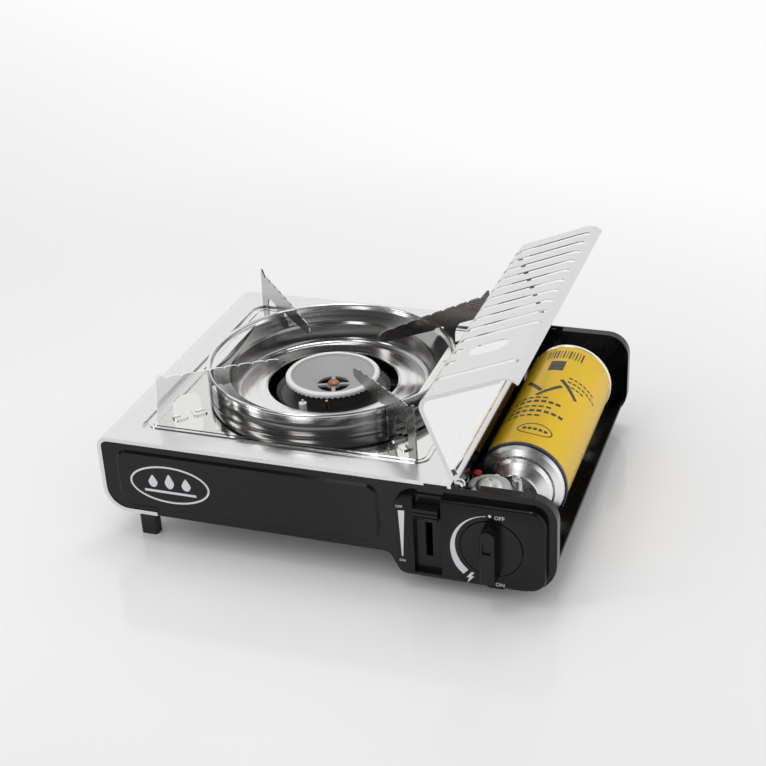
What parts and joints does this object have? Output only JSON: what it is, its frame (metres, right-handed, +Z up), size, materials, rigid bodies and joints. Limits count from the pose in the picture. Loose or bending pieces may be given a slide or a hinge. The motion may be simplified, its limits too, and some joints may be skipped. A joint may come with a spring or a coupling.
{
  "type": "portable cassette stove",
  "caption": "Portable gas stove with pressed steel body, ring burner, lift-out spill tray with pan supports, hinged slotted lid over a gas cartridge, control knob and lock lever.",
  "frame": {"origin": "centre of the bounding box on the surface the stove stands on", "axes": "+X to the right along the body, +Y from the control panel to the back, +Z up"},
  "size_m": [0.3478, 0.2864, 0.1752],
  "materials": {
    "satin_steel": "satin",
    "mirror_steel": "mirror",
    "blade_steel": "polished",
    "black_enamel": "gloss",
    "black_paint": "semi-gloss",
    "black_rubber": "matte",
    "zinc_screw": "polished",
    "bright_steel": "polished",
    "burner_iron": "matte",
    "cap_alloy": "satin",
    "copper_core": "matte",
    "bracket_steel": "satin",
    "tube_steel": "satin",
    "white_ceramic": "satin",
    "brass": "polished",
    "lead_silicone": "matte",
    "black_plastic": "matte",
    "die_cast": "satin",
    "red_plastic": "gloss",
    "gloss_black": "gloss",
    "printed_tinplate": "gloss",
    "blue_band": "gloss",
    "bright_tinplate": "polished",
    "white_plastic": "satin",
    "lid_steel": "satin"
  },
  "bodies": {
    "body": {"body_wrap": "satin_steel", "front_panel": "black_enamel", "back_panel": "black_enamel", "base_pan": "black_paint", "partition": "mirror_steel", "panel_screws": "zinc_screw", "base_screws": "zinc_screw", "front_left_foot": "black_rubber", "rear_left_foot": "black_rubber", "front_right_foot": "black_rubber", "rear_right_foot": "black_rubber", "burner_cup": "burner_iron", "burner_cap": "cap_alloy", "burner_core": "copper_core", "burner_bracket": "bracket_steel", "mixing_tube": "tube_steel", "igniter_electrode": "white_ceramic", "flame_pin": "brass", "igniter_lead": "lead_silicone", "piezo_igniter": "black_plastic", "valve_body": "die_cast", "regulator_cover": "die_cast", "regulator_screws": "zinc_screw", "sealing_cap": "red_plastic", "gas_jet": "brass", "cartridge_seat": "die_cast", "control_panel": "gloss_black", "front_cradle": "bracket_steel", "rear_cradle": "bracket_steel", "hinge_pins": "bright_steel"},
    "tray": {"spill_tray": "mirror_steel", "bowl": "mirror_steel", "front_left_support": "blade_steel", "front_right_support": "blade_steel", "rear_right_support": "blade_steel", "rear_left_support": "blade_steel"},
    "lid": {"lid": "lid_steel"},
    "knob": {"knob": "gloss_black", "valve_spindle": "bright_steel"},
    "lever": {"lock_lever": "gloss_black"},
    "yoke": {"lock_yoke": "bracket_steel"},
    "cartridge": {"can_body": "printed_tinplate", "can_shoulder_ring": "blue_band", "can_dome": "bright_tinplate", "can_collar": "bright_tinplate", "can_stem": "white_plastic", "can_base": "bright_tinplate"}
  },
  "joints": [
    {"name": "lid_hinge", "type": "hinge", "parent": "body", "child": "lid", "pos_m": [0.1046, 0.00815, 0.0865], "axis": [0, 1, 0], "range_deg": [0, 111.5]},
    {"name": "knob_turn", "type": "hinge", "parent": "body", "child": "knob", "pos_m": [0.1291, -0.12485, 0.0435], "axis": [0, 1, 0], "range_deg": [-150, 0]},
    {"name": "lever_slide", "type": "slide", "parent": "body", "child": "lever", "axis": [0, 0, -1], "range_m": [0, 0.034]},
    {"name": "yoke_slide", "type": "slide", "parent": "body", "child": "yoke", "axis": [0, -1, 0], "range_m": [0, 0.004]},
    {"name": "cartridge_lock", "type": "slide", "parent": "body", "child": "cartridge", "axis": [0, -1, 0], "range_m": [0, 0.004]},
    {"name": "tray_lift", "type": "slide", "parent": "body", "child": "tray", "axis": [0, 0, 1], "range_m": [0, 0.06]}
  ],
  "couplings": [
    {"joint": "lever_slide", "follows": "cartridge_lock", "ratio": 8.5},
    {"joint": "yoke_slide", "follows": "cartridge_lock", "ratio": 1}
  ]
}
